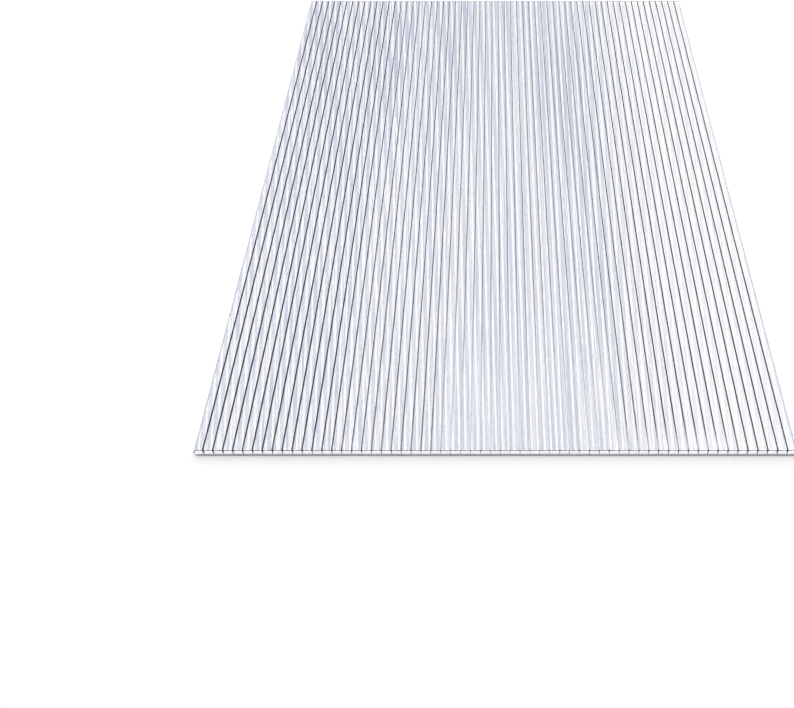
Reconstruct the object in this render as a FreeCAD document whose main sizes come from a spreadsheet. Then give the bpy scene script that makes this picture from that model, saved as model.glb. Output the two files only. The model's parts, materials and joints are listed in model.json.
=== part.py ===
import FreeCAD, Part
import Sketcher
import math
import os

# Twin-wall polycarbonate sheet, one extruded piece, in millimetres.
# The flutes run along Y and stand side by side along X. Z is the thickness.
# The origin is the middle of the bottom face, so the sheet lies on z = 0.

NODE_NAME = "twinwall_sheet"

# Driving sizes, each written once: name, value, what it measures.
SIZES = (
    ("sheet_width", 609.6, "across the flutes, over both closed long sides (24 in)"),
    ("sheet_length", 914.4, "along the flutes, from one cut end to the other (36 in)"),
    ("sheet_thickness", 8.0, "over both skins"),
    ("flute_pitch", 10.0, "from one rib's middle to the next rib's middle"),
    ("skin_thickness", 0.5, "top skin and bottom skin"),
    ("rib_thickness", 0.4, "upright web between two flutes"),
    ("root_radius", 0.4, "fillet where a rib runs into a skin"),
    ("side_wall", 0.5, "closed wall along each long side"),
    ("side_flat", 2.0, "flat band between the two roundings of a long side"),
)

# What follows from the driving sizes, as expressions on the spreadsheet's cells.
# The leftover of the width that makes no whole pitch is shared by the two side flutes.
HALF_WIDTH = "Sizes.sheet_width / 2"
INNER_FLUTES = "round(Sizes.sheet_width / Sizes.flute_pitch) - 2"
OUTER_RIB = f"({INNER_FLUTES}) * Sizes.flute_pitch / 2"
HALF_RIB = "Sizes.rib_thickness / 2"
SIDE_RADIUS = "(Sizes.sheet_thickness - Sizes.side_flat) / 2"
SIDE_FLUTE_RADIUS = f"{SIDE_RADIUS} - Sizes.side_wall"
FLUTE_FLOOR = "Sizes.skin_thickness"
FLUTE_ROOF = "Sizes.sheet_thickness - Sizes.skin_thickness"

# Sketch geometry: the two ends of a line or arc, the sketch's origin, and a corner's sweep.
START, END = 1, 2
ORIGIN_POINT = (-1, 1)
QUARTER_TURN = math.pi / 2


def fill_sizes(doc):
    """Write the driving sizes into the spreadsheet, one row each, named by the cell's alias."""
    sheet = doc.addObject("Spreadsheet::Sheet", "Sizes")
    for row, (name, value, meaning) in enumerate(SIZES, start=1):
        sheet.set(f"A{row}", name)
        sheet.set(f"B{row}", str(value))
        sheet.set(f"C{row}", meaning)
        sheet.setAlias(f"B{row}", name)
    doc.recompute()


def own_datum(body, role):
    """Give the body's own origin plane or axis that has this role."""
    return next(item for item in body.Origin.OriginFeatures if item.Role == role)


def rounded_outline(sketch, left, right, bottom, top, left_radius, right_radius):
    """Draw a rectangle with rounded corners, with each size bound to its expression.

    The two corners of one side share a radius. The outline runs anticlockwise from the bottom
    line, and its lines and arcs take turns.
    """
    x0, x1, y0, y1, r0, r1 = (
        float(sketch.evalExpression(rule))
        for rule in (left, right, bottom, top, left_radius, right_radius)
    )

    def line(xa, ya, xb, yb):
        return Part.LineSegment(FreeCAD.Vector(xa, ya, 0), FreeCAD.Vector(xb, yb, 0))

    def corner(x, y, radius, quarter):
        circle = Part.Circle(FreeCAD.Vector(x, y, 0), FreeCAD.Vector(0, 0, 1), radius)
        return Part.ArcOfCircle(circle, quarter * QUARTER_TURN, (quarter + 1) * QUARTER_TURN)

    floor, low_right, right_side, high_right, roof, high_left, left_side, low_left = range(8)
    outline = {
        floor: line(x0 + r0, y0, x1 - r1, y0),
        low_right: corner(x1 - r1, y0 + r1, r1, 3),
        right_side: line(x1, y0 + r1, x1, y1 - r1),
        high_right: corner(x1 - r1, y1 - r1, r1, 0),
        roof: line(x1 - r1, y1, x0 + r0, y1),
        high_left: corner(x0 + r0, y1 - r0, r0, 1),
        left_side: line(x0, y1 - r0, x0, y0 + r0),
        low_left: corner(x0 + r0, y0 + r0, r0, 2),
    }
    for piece in outline.values():
        sketch.addGeometry(piece, False)

    for piece in outline:
        following = (piece + 1) % len(outline)
        sketch.addConstraint(Sketcher.Constraint("Tangent", piece, END, following, START))
    for level in (floor, roof):
        sketch.addConstraint(Sketcher.Constraint("Horizontal", level))
    for upright in (right_side, left_side):
        sketch.addConstraint(Sketcher.Constraint("Vertical", upright))
    sketch.addConstraint(Sketcher.Constraint("Equal", low_right, high_right))
    sketch.addConstraint(Sketcher.Constraint("Equal", high_left, low_left))

    driven = {
        "left": (left, ("DistanceX", *ORIGIN_POINT, left_side, START, x0)),
        "right": (right, ("DistanceX", *ORIGIN_POINT, right_side, START, x1)),
        "bottom": (bottom, ("DistanceY", *ORIGIN_POINT, floor, START, y0)),
        "top": (top, ("DistanceY", *ORIGIN_POINT, roof, START, y1)),
        "left_radius": (left_radius, ("Radius", low_left, r0)),
        "right_radius": (right_radius, ("Radius", low_right, r1)),
    }
    for name, (rule, constraint) in driven.items():
        index = sketch.addConstraint(Sketcher.Constraint(*constraint))
        sketch.renameConstraint(index, name)
        sketch.setExpression(f"Constraints.{name}", rule)


def section(body, name, **outline):
    """Sketch one outline of the cross-section on the body's XZ plane: x across, y up."""
    sketch = body.newObject("Sketcher::SketchObject", name)
    sketch.AttachmentSupport = [(own_datum(body, "XZ_Plane"), "")]
    sketch.MapMode = "FlatFace"
    rounded_outline(sketch, **outline)
    return sketch


def extrude_blank(body):
    """Pad the outer profile, with its rounded long sides, to the sheet's length."""
    profile = section(
        body,
        "outer_profile",
        left=f"-{HALF_WIDTH}",
        right=HALF_WIDTH,
        bottom="0",
        top="Sizes.sheet_thickness",
        left_radius=SIDE_RADIUS,
        right_radius=SIDE_RADIUS,
    )
    blank = body.newObject("PartDesign::Pad", "blank")
    blank.Profile = profile
    blank.SideType = "Symmetric"
    blank.setExpression("Length", "Sizes.sheet_length")
    return blank


def open_flute(body, name, profile):
    """Cut one flute through the whole length, both ways from the middle."""
    flute = body.newObject("PartDesign::Pocket", name)
    flute.Profile = profile
    flute.SideType = "Symmetric"
    flute.Type = "ThroughAll"
    return flute


def open_inner_flutes(body):
    """Cut the flute beside the outermost rib on the left, and repeat it once for each pitch."""
    profile = section(
        body,
        "flute_profile",
        left=f"-{OUTER_RIB} + {HALF_RIB}",
        right=f"-{OUTER_RIB} + Sizes.flute_pitch - {HALF_RIB}",
        bottom=FLUTE_FLOOR,
        top=FLUTE_ROOF,
        left_radius="Sizes.root_radius",
        right_radius="Sizes.root_radius",
    )
    flute = open_flute(body, "flute", profile)
    row = body.newObject("PartDesign::LinearPattern", "flute_row")
    row.Originals = [flute]
    row.Direction = (own_datum(body, "X_Axis"), [""])
    row.Mode = "Spacing"
    row.setExpression("Offset", "Sizes.flute_pitch")
    row.setExpression("Occurrences", INNER_FLUTES)
    body.Tip = row
    return flute, row


def open_side_flutes(body):
    """Cut the last flute on the left, whose outer wall follows the rounded side, and mirror it."""
    profile = section(
        body,
        "side_flute_profile",
        left=f"-{HALF_WIDTH} + Sizes.side_wall",
        right=f"-{OUTER_RIB} - {HALF_RIB}",
        bottom=FLUTE_FLOOR,
        top=FLUTE_ROOF,
        left_radius=SIDE_FLUTE_RADIUS,
        right_radius="Sizes.root_radius",
    )
    flute = open_flute(body, "side_flute", profile)
    pair = body.newObject("PartDesign::Mirrored", "side_flute_pair")
    pair.Originals = [flute]
    pair.MirrorPlane = (own_datum(body, "YZ_Plane"), [""])
    body.Tip = pair
    return flute, pair


def build_sheet(doc):
    """Model the sheet as one body: the blank, the row of inner flutes, the two side flutes."""
    body = doc.addObject("PartDesign::Body", NODE_NAME)
    body.Label = NODE_NAME
    body.Placement = FreeCAD.Placement()
    blank = extrude_blank(body)
    flute, row = open_inner_flutes(body)
    side_flute, pair = open_side_flutes(body)
    doc.recompute()
    steps = (blank, flute, row, side_flute, pair)
    for before, after in zip(steps, steps[1:]):
        if after.Shape.Volume >= before.Shape.Volume:
            raise RuntimeError(f"{after.Name} cuts nothing from {before.Name}")
    return body


def check(doc, body):
    """Stop if a step of the model has failed or the sheet is not one valid solid."""
    for item in doc.Objects:
        if "Invalid" in item.State or "Error" in item.State:
            raise RuntimeError(f"{item.Name} did not recompute: {item.State}")
    shape = body.Shape
    if shape.isNull() or not shape.isValid() or len(shape.Solids) != 1:
        raise RuntimeError(f"{body.Label} is not one valid solid")


def main():
    doc = FreeCAD.newDocument("TwinWallSheet")
    fill_sizes(doc)
    body = build_sheet(doc)
    check(doc, body)
    os.makedirs("parts", exist_ok=True)
    body.Shape.exportStep(f"parts/{body.Label}.step")
    box = body.Shape.BoundBox
    print(f"{body.Label}: {box.XLength:.2f} x {box.YLength:.2f} x {box.ZLength:.2f} mm")
    print(f"faces {len(body.Shape.Faces)}, volume {body.Shape.Volume / 1000:.1f} cm3")


main()
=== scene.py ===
# %% [markdown]
# Clear twin-wall glazing sheet
#
# The sheet is one extrusion of clear polycarbonate: two thin skins held apart by sixty upright
# ribs, so that air lies in long flutes between them. Its whole shape comes from the packed
# model. This lesson gives that shape its finish, lays it on a white table under soft studio
# light, and sets up the camera.

# %% The frame
import json
import math

import bpy
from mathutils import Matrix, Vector


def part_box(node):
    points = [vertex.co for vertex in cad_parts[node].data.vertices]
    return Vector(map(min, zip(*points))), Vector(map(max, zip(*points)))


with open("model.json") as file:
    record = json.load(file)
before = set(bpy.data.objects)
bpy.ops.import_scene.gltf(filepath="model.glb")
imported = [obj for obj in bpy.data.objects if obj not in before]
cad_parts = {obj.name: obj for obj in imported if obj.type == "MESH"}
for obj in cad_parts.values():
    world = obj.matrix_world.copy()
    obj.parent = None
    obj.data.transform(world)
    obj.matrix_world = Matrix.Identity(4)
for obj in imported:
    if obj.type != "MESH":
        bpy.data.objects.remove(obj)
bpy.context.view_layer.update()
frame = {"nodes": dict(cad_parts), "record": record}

# %% [markdown]
# Sizes that the finish follows
#
# A pattern that belongs to the extrusion has to sit where the ribs sit. The sheet's outer sizes
# are read from its box. The rib spacing is read from two of the flutes that the record states,
# because their names count the flutes from one side.

# %% Sizes from the frame
MM = 0.001
SHEET_NAME = "twinwall_sheet"

low, high = (Vector(corner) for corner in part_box(SHEET_NAME))
WIDTH, LENGTH, THICKNESS = high - low

flutes = {
    int(opening["name"].split("_")[1]): opening["box_m"]
    for opening in frame["record"]["physics"]["openings"]
}
first, last = min(flutes), max(flutes)


def flute_middle(number):
    """The x of a stated flute's middle: half way between the low and high side of its box."""
    box_low, box_high = flutes[number]
    return (box_low[0] + box_high[0]) / 2


PITCH = (flute_middle(last) - flute_middle(first)) / (last - first)
print(f"sheet {WIDTH:.4f} x {LENGTH:.4f} x {THICKNESS:.4f} m, ribs every {PITCH / MM:.3f} mm")

# %% [markdown]
# Camera
#
# The photograph looks along the flutes and down on the sheet. All ribs run to one vanishing
# point above the picture, and the front edge is level, so the camera has no turn to the side:
# the sheet only stands right of the middle because the picture is cropped that way. A small
# sideways shift of the lens does the same here. The focal length follows from the height of the
# vanishing point and the angle down, and the distance from the spacing of the ribs at the
# front edge. Picture positions are in pixels from the top left corner of the picture.

# %% Camera from the photograph's perspective
PICTURE_WIDTH, PICTURE_HEIGHT = 794, 708
VANISHING_X, VANISHING_Y = 494.8, -699.7
FRONT_MIDDLE_X, FRONT_EDGE_ROW = 495.3, 450.75
FRONT_PITCH_PX = 9.929
LOOK_DOWN = math.radians(48.1)
SENSOR_MM = 36.0

focal_px = (PICTURE_HEIGHT / 2 - VANISHING_Y) / math.tan(LOOK_DOWN)
depth = focal_px * PITCH / FRONT_PITCH_PX
drop = depth * (FRONT_EDGE_ROW - PICTURE_HEIGHT / 2) / focal_px
ahead = Vector((0, math.cos(LOOK_DOWN), -math.sin(LOOK_DOWN)))
upward = Vector((0, math.sin(LOOK_DOWN), math.cos(LOOK_DOWN)))
sideways = (VANISHING_X - FRONT_MIDDLE_X) * PITCH / FRONT_PITCH_PX
front_edge = Vector((sideways, low.y, high.z))

camera_data = bpy.data.cameras.new("photo_camera")
camera_data.sensor_width = SENSOR_MM
camera_data.lens = focal_px * SENSOR_MM / PICTURE_WIDTH
camera_data.shift_x = (PICTURE_WIDTH / 2 - VANISHING_X) / PICTURE_WIDTH
camera = bpy.data.objects.new("photo_camera", camera_data)
camera.location = front_edge - depth * ahead + drop * upward
camera.rotation_euler = (math.pi / 2 - LOOK_DOWN, 0, 0)
bpy.context.scene.collection.objects.link(camera)
bpy.context.scene.camera = camera
print(f"lens {camera_data.lens:.2f} mm, camera at {tuple(round(v, 3) for v in camera.location)}")

# %% [markdown]
# Node helpers
#
# Materials here are built from many small nodes. Wiring each by hand would hide the idea, so one
# helper makes a node, sets it and wires its inputs, and the others do arithmetic, so that a
# formula reads like a formula. A fade is given by where it starts and ends, then its two values.


# %% Helpers for shader nodes
def add(tree, kind, inputs=None, **settings):
    """Add one node. Each input is a value, or another node's output socket to link from."""
    made = tree.nodes.new(kind)
    for name, value in settings.items():
        setattr(made, name, value)
    for name, value in (inputs or {}).items():
        if isinstance(value, bpy.types.NodeSocket):
            tree.links.new(value, made.inputs[name])
        else:
            made.inputs[name].default_value = value
    return made


def calculate(tree, operation, first_value, second_value=0.0, third_value=0.0):
    """The output of one Math node: operation of up to three numbers or sockets."""
    values = dict(enumerate((first_value, second_value, third_value)))
    return add(tree, "ShaderNodeMath", values, operation=operation).outputs[0]


def product(tree, value, *others):
    """The value times each of the others."""
    for other in others:
        value = calculate(tree, "MULTIPLY", value, other)
    return value


def fade(tree, value, start, end, low_value=0.0, high_value=1.0):
    """Go smoothly from low_value at start to high_value at end."""
    inputs = {
        "Value": value,
        "From Min": start,
        "From Max": end,
        "To Min": low_value,
        "To Max": high_value,
    }
    made = add(tree, "ShaderNodeMapRange", inputs, interpolation_type="SMOOTHSTEP")
    return made.outputs["Result"]


def between(tree, mask, outside, inside):
    """The value outside where the mask is 0, and inside where it is 1."""
    return fade(tree, mask, 0.0, 1.0, outside, inside)


print("node helpers ready")

# %% [markdown]
# Node groups
#
# Two patterns run along the skins: faint flow lines, and combs of white lines that are placed
# twice with other spacings. Each becomes a node group, a small tree with named sockets that is
# made once and then placed like a single node. Both take the position and a few numbers, and
# put out how strong a line is there. The material's own tree stays short that way.


# %% Start of a node group
def start_lines_group(name, numbers):
    """Start a shader node group: a Position and these numbers go in, and Lines come out."""
    group = bpy.data.node_groups.new(name, "ShaderNodeTree")
    interface = group.interface
    interface.new_socket("Position", in_out="INPUT", socket_type="NodeSocketVector")
    for number in numbers:
        interface.new_socket(number, in_out="INPUT", socket_type="NodeSocketFloat")
    interface.new_socket("Lines", in_out="OUTPUT", socket_type="NodeSocketFloat")
    return group, group.nodes.new("NodeGroupInput"), group.nodes.new("NodeGroupOutput")


def stretched_noise(group, x, y, detail, roughness):
    """Noise of a flat point (x, y), where x and y are already scaled."""
    point = add(group, "ShaderNodeCombineXYZ", {"X": x, "Y": y}).outputs["Vector"]
    values = {"Vector": point, "Scale": 1.0, "Detail": detail, "Roughness": roughness}
    return add(group, "ShaderNodeTexNoise", values, noise_dimensions="2D").outputs["Fac"]


print("node groups can be started")

# %% [markdown]
# Flow lines
#
# Hot plastic leaves the die as a curtain, and small unevenness of the lips draws faint lines
# along the whole sheet. They show only in how the skins bend light, so here they vary the
# strength of the painted reflection. They could be photographed, but a noise that changes fast
# across the flutes and slowly along them gives endless lines with no image. Height is added to
# the position across, so the top and the bottom skin have lines of their own.

# %% Flow lines as a node group
LEVEL_SHIFT = 1300.0
LINE_START = 0.45
FLOW_DETAIL = 2.0
FLOW_ROUGHNESS = 0.6


def build_flow_lines():
    """Noise of (x * density + z * level shift, y * drift), sharpened into lines from 0 to 1."""
    numbers = ("Density", "Drift", "Softness")
    group, given, result = start_lines_group("flow_lines", numbers)
    place = add(group, "ShaderNodeSeparateXYZ", {"Vector": given.outputs["Position"]})
    level = product(group, place.outputs["Z"], LEVEL_SHIFT)
    across = calculate(
        group, "MULTIPLY_ADD", place.outputs["X"], given.outputs["Density"], level
    )
    along = product(group, place.outputs["Y"], given.outputs["Drift"])
    noise = stretched_noise(group, across, along, FLOW_DETAIL, FLOW_ROUGHNESS)
    full = calculate(group, "ADD", LINE_START, given.outputs["Softness"])
    lines = fade(group, noise, LINE_START, full)
    group.links.new(lines, result.inputs["Lines"])
    return group


flow_lines = build_flow_lines()
print("group", flow_lines.name)

# %% [markdown]
# White lines
#
# Each flute also shows one or two soft white lines where the skin passes the light straight on.
# They are gaps taken out of the painted reflection, where the white table shows through.
# They aren't spaced like the ribs and lie a little askew to them, so they wander from flute to
# flute. Combs of straight lines could do that, but they would look ruled. A slow noise is added
# to their position, and the lines then crowd and part a little, as in the photograph. They also
# stand wider apart towards the back, so their spacing grows with the distance from the front.

# %% White lines as a node group
WANDER_SCALE_ACROSS = 28.0
WANDER_SCALE_ALONG = 0.5
WANDER_DETAIL = 1.0
WANDER_ROUGHNESS = 0.5
CORE_SHARE = 0.35
FARTHEST_FROM_LINE = 0.5


def build_white_lines():
    """A line at each whole value of (x + slant * y + wander * noise) / local spacing.

    The local spacing is the spacing at the front end times 1 + spread * metres from that end.
    A line is 1 in its core, which is a share of its half width, and fades to 0 at its edge.
    """
    numbers = ("Spacing", "Slant", "Spread", "Wander", "Half Width")
    group, given, result = start_lines_group("white_lines", numbers)
    place = add(group, "ShaderNodeSeparateXYZ", {"Vector": given.outputs["Position"]})
    x, y = place.outputs["X"], place.outputs["Y"]
    across = product(group, x, WANDER_SCALE_ACROSS)
    along = product(group, y, WANDER_SCALE_ALONG)
    noise = stretched_noise(group, across, along, WANDER_DETAIL, WANDER_ROUGHNESS)
    askew = calculate(group, "MULTIPLY_ADD", y, given.outputs["Slant"], x)
    wander = product(group, noise, given.outputs["Wander"])
    wandering = calculate(group, "ADD", askew, wander)
    from_front = calculate(group, "ADD", y, LENGTH / 2)
    growth = calculate(group, "MULTIPLY_ADD", from_front, given.outputs["Spread"], 1.0)
    local_spacing = product(group, growth, given.outputs["Spacing"])
    phase = calculate(group, "DIVIDE", wandering, local_spacing)
    spacings_from_line = calculate(group, "PINGPONG", phase, FARTHEST_FROM_LINE)
    from_line = product(group, spacings_from_line, given.outputs["Spacing"])
    core = product(group, given.outputs["Half Width"], CORE_SHARE)
    lines = fade(group, from_line, core, given.outputs["Half Width"], 1.0, 0.0)
    group.links.new(lines, result.inputs["Lines"])
    return group


white_lines = build_white_lines()
print("group", white_lines.name)

# %% [markdown]
# Where a point of the plastic is
#
# The plastic itself has no colour. What the eye sees is where the sheet bends or traps the
# light, so the finish has to know which part of the section a point belongs to. The mesh has
# one material. Parts could be painted on by hand, but distances measured from the section stay
# right on every one of the sixty ribs.

# %% Distances
# The rib over which the painted shade line is palest.
PALEST_RIB = 35 * MM


def distances(tree):
    """Metres from a rib's middle plane, the sheet's middle, its sides, its ends and its core."""
    position = add(tree, "ShaderNodeTexCoord").outputs["Object"]
    place = add(tree, "ShaderNodeSeparateXYZ", {"Vector": position})
    x, y, height = (place.outputs[axis] for axis in "XYZ")
    from_middle = calculate(tree, "ABSOLUTE", x)
    from_pale = calculate(tree, "SUBTRACT", x, PALEST_RIB)
    over_core = calculate(tree, "SUBTRACT", height, THICKNESS / 2)
    halfway = calculate(tree, "ABSOLUTE", y)
    from_flute_middle = calculate(tree, "PINGPONG", x, PITCH / 2)
    return {
        "position": position,
        "x": x,
        "height": height,
        "from_middle": from_middle,
        "from_pale": calculate(tree, "ABSOLUTE", from_pale),
        "from_side": calculate(tree, "SUBTRACT", WIDTH / 2, from_middle),
        "from_core": calculate(tree, "ABSOLUTE", over_core),
        "from_front": calculate(tree, "ADD", y, LENGTH / 2),
        "from_end": calculate(tree, "SUBTRACT", LENGTH / 2, halfway),
        "from_rib": calculate(tree, "SUBTRACT", PITCH / 2, from_flute_middle),
    }


print("ribs stand on every odd multiple of", round(PITCH / 2 / MM, 2), "mm from the middle")

# %% [markdown]
# Parts of the section
#
# Rib sides look sideways, skins look up or down, and cut ends look along the flutes. Together
# with the distances that tells all parts apart. Over each rib the upper skin carries a dark line
# of painted shade, where the eye looks down into the clear rib. It is painted a little wider on
# the left, as in the photograph. Each range below is a fade: where the mask starts and where it
# is full.

# %% Masks of the section
# Metres from a long side, four heights, metres from the middle height and from a cut end.
PAST_SIDE_FLUTE = (4 * MM, 5 * MM)
UPPER_HALF = (0.45 * THICKNESS, 0.55 * THICKNESS)
ROOT_HEIGHT = (0.82 * THICKNESS, 0.88 * THICKNESS)
ABOVE_FOOT = (0.3 * THICKNESS, 0.42 * THICKNESS)
ABOVE_FLOOR = (0.1 * THICKNESS, 0.16 * THICKNESS)
OUTER_FACE = (THICKNESS / 2 - 0.3 * MM, THICKNESS / 2 - 0.1 * MM)
MOUTH_DEPTH = (2.5 * MM, 4 * MM)
RIM_DEPTH = (0.3 * MM, 0.9 * MM)

# How far a face is turned: 0 is not at all and 1 is fully to the side or to the end.
RIB_TURN = (0.35, 0.75)
SIDE_TURN = (0.93, 0.99)
END_TURN = (0.4, 0.6)

# From x to x, the half width of the painted shade line's core at the first and at the second.
LINE_CORE = (-250 * MM, -100 * MM, 0.62 * MM, 0.5 * MM)
LINE_EDGE = 0.45 * MM
LOWER_SKIN_SHARE = 0.05


def section_masks(tree):
    """Masks from 0 to 1 for a point's part of the section, with its distances beside them."""
    at = distances(tree)
    normal = add(tree, "ShaderNodeNewGeometry").outputs["Normal"]
    facing = add(tree, "ShaderNodeSeparateXYZ", {"Vector": normal})
    turned_side = calculate(tree, "ABSOLUTE", facing.outputs["X"])
    turned_end = calculate(tree, "ABSOLUTE", facing.outputs["Y"])

    has_ribs = fade(tree, at["from_side"], *PAST_SIDE_FLUTE)
    upper_half = fade(tree, at["height"], *UPPER_HALF)
    mouth = fade(tree, at["from_end"], *MOUTH_DEPTH, 1.0, 0.0)
    above_foot = fade(tree, at["height"], *ABOVE_FOOT)
    root = fade(tree, at["height"], *ROOT_HEIGHT)
    line_core = fade(tree, at["x"], *LINE_CORE)
    line_edge = calculate(tree, "ADD", line_core, LINE_EDGE)
    line = fade(tree, at["from_rib"], line_core, line_edge, 1.0, 0.0)
    skin_share = between(tree, upper_half, LOWER_SKIN_SHARE, 1.0)
    return at | {
        "side_band": fade(tree, turned_side, *SIDE_TURN),
        "rib_side": product(tree, fade(tree, turned_side, *RIB_TURN), has_ribs),
        "rib_shade_line": product(tree, line, skin_share, has_ribs),
        "outer_face": fade(tree, at["from_core"], *OUTER_FACE),
        "upper_half": upper_half,
        "mouth": mouth,
        "above_floor": fade(tree, at["height"], *ABOVE_FLOOR),
        "above_foot": above_foot,
        "root_shade_zone": calculate(tree, "MAXIMUM", root, product(tree, mouth, above_foot)),
        "cut_end": fade(tree, turned_end, *END_TURN),
        "sawn_rim": fade(tree, at["from_end"], *RIM_DEPTH, 1.0, 0.0),
    }


print("masks for", len(flutes), "stated flutes and all their neighbours")

# %% [markdown]
# Streaks and painted reflection
#
# Between two dark ribs the photograph shows lavender bands with white lines between them. The
# plastic has no colour, so the lavender is painted reflection: the light that the skins bend
# and mirror, painted on them as a colour. It is the base, made a little uneven by flow lines and
# by large soft clouds, and two combs of white lines are taken out of it: a close one all over,
# and a wide one that is weak in the middle and stronger towards the sides. The painted
# reflection loses strength towards the right side, where the photograph is nearly white, and
# next to a rib, so that the rib's own line stays crisp. Towards the back it grows a little.
# Most of it is on the upper skin, because two painted skins over each other would turn the
# sheet dull.

# %% Painted reflection on the skins
FLOW_LINES = {"Density": 330.0, "Drift": 0.7, "Softness": 0.12}
COMB_SPREAD = 0.47
CLOSE_COMB = {"Spacing": 6.1 * MM, "Slant": 0.02, "Wander": 4 * MM, "Half Width": 1.55 * MM}
WIDE_COMB = {"Spacing": 11.4 * MM, "Slant": 0.034, "Wander": 16 * MM, "Half Width": 1.22 * MM}
CLOUD_SCALE = (14.0, 1.1, 14.0)
CLOUD_DETAIL = 1.0

# Fades: from here to there, the strength at the first and at the second.
WIDE_COMB_TO_SIDES = (60 * MM, 160 * MM, 0.35, 0.8)
WHITE_TO_BACK = (200 * MM, 900 * MM, 0.92, 0.84)
CLOUD_STRENGTH = (0.35, 0.65, 0.85, 1.0)
FLOW_STRENGTH = (0.0, 1.0, 0.62, 1.0)
REFLECTION_TO_RIGHT = (120 * MM, 230 * MM, 1.0, 0.3)
REFLECTION_TO_BACK = (200 * MM, 900 * MM, 0.88, 1.14)
BESIDE_RIB = (0.4 * MM, 1.0 * MM, 0.0, 1.0)


def lines_of(tree, group, position, values):
    """The lines of one node group, with these values set on its sockets."""
    made = add(tree, "ShaderNodeGroup", node_tree=group)
    tree.links.new(position, made.inputs["Position"])
    for name, value in values.items():
        made.inputs[name].default_value = value
    return made.outputs["Lines"]


def comb(tree, position, values):
    """One comb of white lines with these values, spreading towards the back."""
    return lines_of(tree, white_lines, position, values | {"Spread": COMB_SPREAD})


def skin_reflection(tree, masks):
    """Painted reflection on a skin: (1 - white lines) * clouds * flow lines * fades over it."""
    position = masks["position"]
    stretched = add(tree, "ShaderNodeMapping", {"Vector": position, "Scale": CLOUD_SCALE})
    values = {"Vector": stretched.outputs["Vector"], "Scale": 1.0, "Detail": CLOUD_DETAIL}
    cloud = add(tree, "ShaderNodeTexNoise", values).outputs["Fac"]
    flow = lines_of(tree, flow_lines, position, FLOW_LINES)
    close = comb(tree, position, CLOSE_COMB)
    wide = comb(tree, position, WIDE_COMB)
    wide = product(tree, wide, fade(tree, masks["from_middle"], *WIDE_COMB_TO_SIDES))
    white = calculate(tree, "MAXIMUM", close, wide)
    white = product(tree, white, fade(tree, masks["from_front"], *WHITE_TO_BACK))
    return product(
        tree,
        calculate(tree, "SUBTRACT", 1.0, white),
        fade(tree, cloud, *CLOUD_STRENGTH),
        fade(tree, flow, *FLOW_STRENGTH),
        fade(tree, masks["x"], *REFLECTION_TO_RIGHT),
        fade(tree, masks["from_front"], *REFLECTION_TO_BACK),
        fade(tree, masks["from_rib"], *BESIDE_RIB),
        between(tree, masks["upper_half"], LOWER_SKIN_SHARE, 1.0),
    )


for values in (CLOSE_COMB, WIDE_COMB):
    print("white lines every", round(values["Spacing"] / MM, 1), "mm at the front end")

# %% [markdown]
# How much shows through
#
# One Principled shader carries the whole section. Its Alpha says how much of the table shows
# through a face: nearly all through a clear skin, a third through a lavender band, almost none
# through the line over a rib, and little through a sawn end. Real glass with refraction would
# be closer to physics, but seen from above in an open white room it shows almost nothing of the
# ribs, and a see-through finish also exports well.
#
# A rib's line is painted shade, the dark that the eye meets looking down into a clear rib. It is
# painted darkest towards the two long sides, where the camera sees more of the rib's face. In the
# middle the rib is seen edge on and its line is painted pale. Light comes in through the cut end,
# so the pale lines are palest near the front, and in the last few centimetres before it every
# line fades a little, most of all in a stretch right of the middle. Below the line the rib faces
# stay nearly clear, so that a low view from the side looks through the sheet and not onto a dark
# wall.

# %% Alpha of skins and ribs
CLEAR_SKIN = 0.004
REFLECTING_SKIN = 0.79
SIDE_BAND = 0.5
RIB_FACE = 0.06
# Painted shade at the rib roots, where the top of a rib traps the light.
ROOT_SHADE_ALPHA = 0.5
MOUTH_SHADE_ALPHA = 0.9

# The painted shade line over a rib: its alpha in the middle and along the sides, and how far
# each reaches.
FRONT_MIDDLE_LINE = (30 * MM, 300 * MM, 0.2, 0.6)
MIDDLE_LINE = 0.75
SIDE_LINE = (-250 * MM, 150 * MM, 0.995, 0.955)
MIDDLE_REACH = (80 * MM, 105 * MM)
SIDE_REACH = (145 * MM, 180 * MM)

# The share of it that is left at the front end, and in the pale stretch right of the middle.
FRONT_FADE = (3 * MM, 40 * MM)
FRONT_SHARE = 0.85
PALE_FRONT_SHARE = 0.35
PALE_FRONT_START = (80 * MM, 120 * MM)
PALE_FRONT_END = (220 * MM, 260 * MM)


def rib_shade_alpha(tree, masks):
    """Painted shade over a rib: from pale in the front middle to dark along the long sides."""
    front_middle = fade(tree, masks["from_front"], *FRONT_MIDDLE_LINE)
    middle = fade(tree, masks["from_pale"], *MIDDLE_REACH, front_middle, MIDDLE_LINE)
    side = fade(tree, masks["x"], *SIDE_LINE)
    line = fade(tree, masks["from_middle"], *SIDE_REACH, middle, side)
    started = fade(tree, masks["x"], *PALE_FRONT_START)
    pale_front = product(tree, started, fade(tree, masks["x"], *PALE_FRONT_END, 1.0, 0.0))
    front_share = between(tree, pale_front, FRONT_SHARE, PALE_FRONT_SHARE)
    share = fade(tree, masks["from_front"], *FRONT_FADE, front_share, 1.0)
    return product(tree, masks["rib_shade_line"], line, share)


def skin_alpha(tree, masks):
    """Clear inside, clear plus painted reflection outside, never less than the painted rib shade.
    """
    reflecting = calculate(tree, "MULTIPLY_ADD", skin_reflection(tree, masks), REFLECTING_SKIN, CLEAR_SKIN)
    skin = between(tree, masks["outer_face"], CLEAR_SKIN, reflecting)
    skin = calculate(tree, "MAXIMUM", skin, rib_shade_alpha(tree, masks))
    return between(tree, masks["side_band"], skin, SIDE_BAND)


def rib_alpha(tree, masks):
    """Nearly clear, with painted shade at the root under the upper skin, darker inside a cut end.
    """
    root = between(tree, masks["mouth"], ROOT_SHADE_ALPHA, MOUTH_SHADE_ALPHA)
    return between(tree, masks["root_shade_zone"], RIB_FACE, root)


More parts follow.
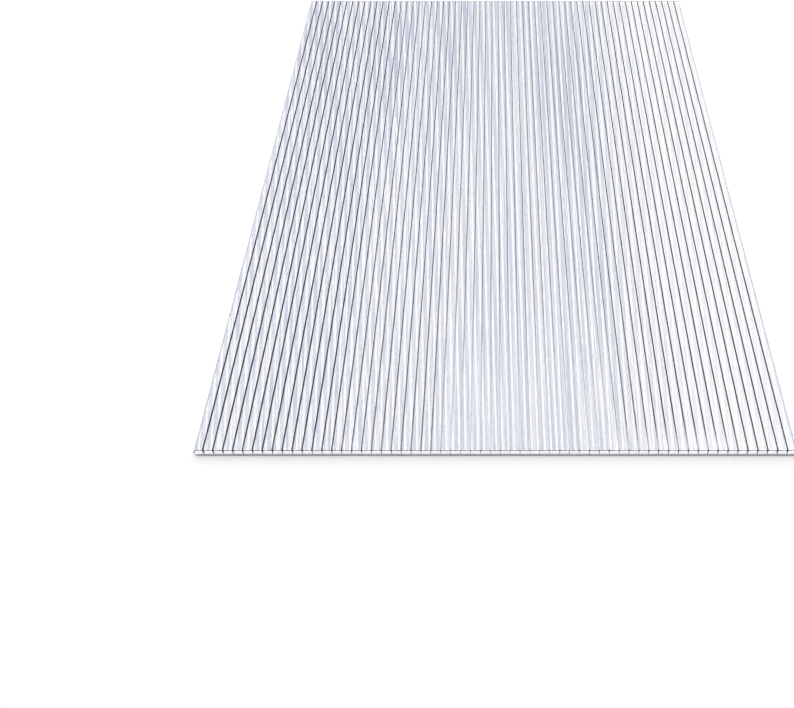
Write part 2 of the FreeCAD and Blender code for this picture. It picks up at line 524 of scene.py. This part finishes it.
print("clear skin", CLEAR_SKIN, "tinted skin", REFLECTING_SKIN, "rib face", RIB_FACE)

# %% [markdown]
# Light through the sheet
#
# A clear sheet hardly dims the table under it, but the lines painted over its ribs would. So
# for the rays that bring light, every face is made clearer, and only the first few millimetres
# behind the front end keep enough to lay a thin shadow along the foot of the sheet.

# %% Alpha for rays that bring light
LIGHT_SHARE = 0.15
SHADE_AT_FRONT = 0.85
SHADE_DEPTH = (1.5 * MM, 4 * MM)


def with_light_passing(tree, masks, alpha):
    """A ray that shows the sheet meets its alpha, and one that lights the table a share of it."""
    light_path = add(tree, "ShaderNodeLightPath").outputs
    lighting = calculate(
        tree, "MAXIMUM", light_path["Is Shadow Ray"], light_path["Is Diffuse Ray"]
    )
    share = product(tree, alpha, LIGHT_SHARE)
    passing = fade(tree, masks["from_front"], *SHADE_DEPTH, SHADE_AT_FRONT, share)
    return between(tree, lighting, alpha, passing)


print("light meets", LIGHT_SHARE, "of the alpha, and", SHADE_AT_FRONT, "at the front end")

# %% [markdown]
# Cut ends
#
# The saw leaves torn faces, and their edges show as two thin grey lines with a tick at each
# rib, dark in its upper part and pale at its foot. They could be chamfers, but the photograph
# shows sharp edges, so a rim of half a millimetre is drawn on the faces next to the cut. The
# dark upper part of each tick is painted shade, like a rib's root, and the lower line also
# carries part of the painted contact shadow along the foot of the sheet. The far end is painted
# lighter, because there it is seen from above against the white table.

# %% Alpha of the cut ends
SAWN_FACE = 0.92
UPPER_RIM = 0.75
# The lower rim is the lower skin's sawn edge and also part of the painted contact shadow.
LOWER_RIM_AND_SHADOW = 0.5
RIB_TICK = 0.98
RIB_FOOT = 0.25
BACK_SHARE = 0.5
LOWER_BACK_SHARE = 0.08


def with_cut_ends(tree, masks, alpha):
    """At least the rim's alpha next to a cut, and the sawn face's own alpha on the cut."""
    upper_half = masks["upper_half"]
    # A tick's dark upper part is painted shade, like a rib's root.
    tick = between(tree, masks["above_foot"], RIB_FOOT, RIB_TICK)
    rim = between(tree, upper_half, LOWER_RIM_AND_SHADOW, UPPER_RIM)
    rim = between(tree, masks["rib_shade_line"], rim, RIB_TICK)
    rim = between(tree, masks["rib_side"], rim, tick)
    face = between(tree, masks["above_floor"], SAWN_FACE, tick)
    back_share = between(tree, upper_half, LOWER_BACK_SHARE, BACK_SHARE)
    share = fade(tree, masks["from_front"], 0.0, LENGTH, 1.0, back_share)
    rim = product(tree, masks["sawn_rim"], rim, share)
    alpha = calculate(tree, "MAXIMUM", alpha, rim)
    return between(tree, masks["cut_end"], alpha, product(tree, share, face))


print("sawn face", SAWN_FACE, "rims", UPPER_RIM, "and", LOWER_RIM_AND_SHADOW)

# %% [markdown]
# The finish
#
# The colours follow the same masks: lavender skins, nearly black roots, a dark warm grey over
# each rib and a cool grey where the saw has torn the plastic. The lavender is painted
# reflection, and the nearly black roots and the grey over each rib are painted shade. The
# extruded faces are polished and the sawn ones are rough. Specular is set low, because an even
# white room mirrored at full strength would wash the dark lines out.

# %% Colours of the finish
# Painted light: lavender for painted reflection, the root and rib-line colours for painted shade.
LAVENDER_REFLECTION = (0.44, 0.485, 0.67, 1)
ROOT_SHADE_COLOUR = (0.008, 0.007, 0.006, 1)
RIB_SHADE_GREY = (0.042, 0.038, 0.031, 1)
SAWN_GREY = (0.12, 0.122, 0.125, 1)

# A mix node repeats its socket names for each kind of value, so colours go by number.
MIX_SHARE, MIX_FIRST, MIX_SECOND = 0, 6, 7
MIX_RESULT = 2


def blend_colour(tree, share, first_colour, second_colour):
    """The output of a colour mix: the first colour at share 0 and the second at share 1."""
    values = {MIX_SHARE: share, MIX_FIRST: first_colour, MIX_SECOND: second_colour}
    return add(tree, "ShaderNodeMix", values, data_type="RGBA").outputs[MIX_RESULT]


def section_colour(tree, masks, sawn):
    """Lavender as painted reflection, painted shade over ribs and at upper roots, grey where
    sawn.
    """
    skin = blend_colour(tree, masks["rib_shade_line"], LAVENDER_REFLECTION, RIB_SHADE_GREY)
    rib = blend_colour(tree, masks["root_shade_zone"], LAVENDER_REFLECTION, ROOT_SHADE_COLOUR)
    extruded = blend_colour(tree, masks["rib_side"], skin, rib)
    rib_head = product(tree, masks["rib_shade_line"], masks["upper_half"])
    cut = blend_colour(tree, rib_head, SAWN_GREY, ROOT_SHADE_COLOUR)
    return blend_colour(tree, sawn, extruded, cut)


print("lavender", LAVENDER_REFLECTION[:3], "line over a rib", RIB_SHADE_GREY[:3], "sawn", SAWN_GREY[:3])

# %% [markdown]
# One material for the sheet
#
# Skins, ribs and ends could each have a material, but the sheet is one extrusion of one plastic,
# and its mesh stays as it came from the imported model. So one Principled shader gets all three:
# colour, roughness and alpha from the part of the section that a point belongs to.

# %% The sheet's material
POLISHED = 0.08
SAWN = 0.5
IOR_OF_POLYCARBONATE = 1.585
SPECULAR_LEVEL = 0.25


def build_clear_polycarbonate():
    """One Principled shader, with colour, roughness and Alpha from the part of the section."""
    material = bpy.data.materials.new("clear_polycarbonate_finish")
    material.use_nodes = True
    tree = material.node_tree
    tree.nodes.clear()
    masks = section_masks(tree)

    alpha = between(tree, masks["rib_side"], skin_alpha(tree, masks), rib_alpha(tree, masks))
    alpha = with_light_passing(tree, masks, alpha)
    alpha = with_cut_ends(tree, masks, alpha)
    sawn = calculate(tree, "MAXIMUM", masks["cut_end"], masks["sawn_rim"])

    surface = add(
        tree,
        "ShaderNodeBsdfPrincipled",
        {
            "Base Color": section_colour(tree, masks, sawn),
            "Roughness": between(tree, sawn, POLISHED, SAWN),
            "Alpha": alpha,
            "IOR": IOR_OF_POLYCARBONATE,
            "Specular IOR Level": SPECULAR_LEVEL,
        },
    )
    output = add(tree, "ShaderNodeOutputMaterial")
    tree.links.new(surface.outputs["BSDF"], output.inputs["Surface"])
    return material


sheet = frame["nodes"][SHEET_NAME]
clear_polycarbonate = build_clear_polycarbonate()
sheet.material_slots[0].material = clear_polycarbonate
print("finish on", sheet.name, "with", len(clear_polycarbonate.node_tree.nodes), "nodes")

# %% [markdown]
# Table
#
# The photograph has a pure white ground. More lamps would only wash the sheet out, so the table
# is lit plainly and a little of its own white is added where the camera, a reflection or a view
# through glass meets it. The lit part keeps the sheet's shadow.

# %% White table
TABLE_SIZE = 30.0
TABLE_GAP = 0.3 * MM
TABLE_WHITE = (0.75, 0.75, 0.75, 1)
TABLE_GLOW = 0.3


def seen_ray(tree):
    """1 for rays that show the surface: from the camera, a mirror or a see-through surface."""
    light_path = add(tree, "ShaderNodeLightPath").outputs
    seen = calculate(tree, "MAXIMUM", light_path["Is Camera Ray"], light_path["Is Glossy Ray"])
    return calculate(tree, "MAXIMUM", seen, light_path["Is Transmission Ray"])


def build_white_table_finish():
    """Plain matt white, with its own glow added for seen rays."""
    material = bpy.data.materials.new("white_table")
    material.use_nodes = True
    tree = material.node_tree
    tree.nodes.clear()
    matt = add(tree, "ShaderNodeBsdfDiffuse", {"Color": TABLE_WHITE})
    strength = product(tree, seen_ray(tree), TABLE_GLOW)
    glow = add(tree, "ShaderNodeEmission", {"Strength": strength})
    both = add(tree, "ShaderNodeAddShader")
    tree.links.new(matt.outputs[0], both.inputs[0])
    tree.links.new(glow.outputs[0], both.inputs[1])
    output = add(tree, "ShaderNodeOutputMaterial")
    tree.links.new(both.outputs[0], output.inputs["Surface"])
    return material


def build_table():
    """One square just under the sheet, with its middle under the sheet's middle."""
    half = TABLE_SIZE / 2
    height = low.z - TABLE_GAP
    around = ((-half, -half), (half, -half), (half, half), (-half, half))
    mesh = bpy.data.meshes.new("table_top")
    mesh.from_pydata([(x, y, height) for x, y in around], [], [(0, 1, 2, 3)])
    mesh.materials.append(build_white_table_finish())
    made = bpy.data.objects.new("table_top", mesh)
    bpy.context.scene.collection.objects.link(made)
    return made


table = build_table()
print(table.name, TABLE_SIZE, "m square,", round(TABLE_GAP / MM, 1), "mm under the sheet")

# %% [markdown]
# Light
#
# The photograph has no hard shadow and no lamp mirrored in the skins: it is lit from all around.
# A thin grey shadow lies only along the front edge, so the room is brighter behind the sheet
# than before it. Area lamps could imitate that, but a white world that grows brighter towards
# the back does it with no hot spot. Its strength is set so that a level surface gets the same
# light as in an even white room. What is seen of the world is plain white.

# %% White world, brighter behind the sheet
LEVEL_SURFACE_SHARE = 0.8


def build_world():
    """Light of level share * (1 + y)^2 from direction (x, y, z), and white where it is seen."""
    world = bpy.data.worlds.new("white_studio")
    world.use_nodes = True
    tree = world.node_tree
    tree.nodes.clear()
    direction = add(tree, "ShaderNodeTexCoord").outputs["Generated"]
    direction = add(tree, "ShaderNodeSeparateXYZ", {"Vector": direction})
    to_the_back = calculate(tree, "ADD", direction.outputs["Y"], 1.0)
    light = product(tree, to_the_back, to_the_back, LEVEL_SURFACE_SHARE)
    strength = between(tree, seen_ray(tree), light, 1.0)
    white = {"Color": (1, 1, 1, 1), "Strength": strength}
    background = add(tree, "ShaderNodeBackground", white)
    output = add(tree, "ShaderNodeOutputWorld")
    tree.links.new(background.outputs[0], output.inputs["Surface"])
    world.cycles.sampling_method = "NONE"
    return world


scene = bpy.context.scene
scene.world = build_world()
scene.view_settings.view_transform = "Standard"
print("world", scene.world.name, "for light, white for the eye")

# %% [markdown]
# Rays and pixels
#
# A line of sight may meet many clear faces one after another, so it is allowed that many
# see-through steps, while a few bounces are enough in a white room. The ribs are thinner than a
# pixel, and the photograph shows them crisp, so the pixel filter is a little narrower than usual.

# %% Ray steps and pixel filter
CLEAR_STEPS = 32
BOUNCES = 3
CRISP_PIXEL = 1.25

scene.cycles.transparent_max_bounces = CLEAR_STEPS
scene.cycles.max_bounces = BOUNCES
scene.cycles.filter_width = CRISP_PIXEL
print(CLEAR_STEPS, "see-through steps,", BOUNCES, "bounces, pixel filter", CRISP_PIXEL)
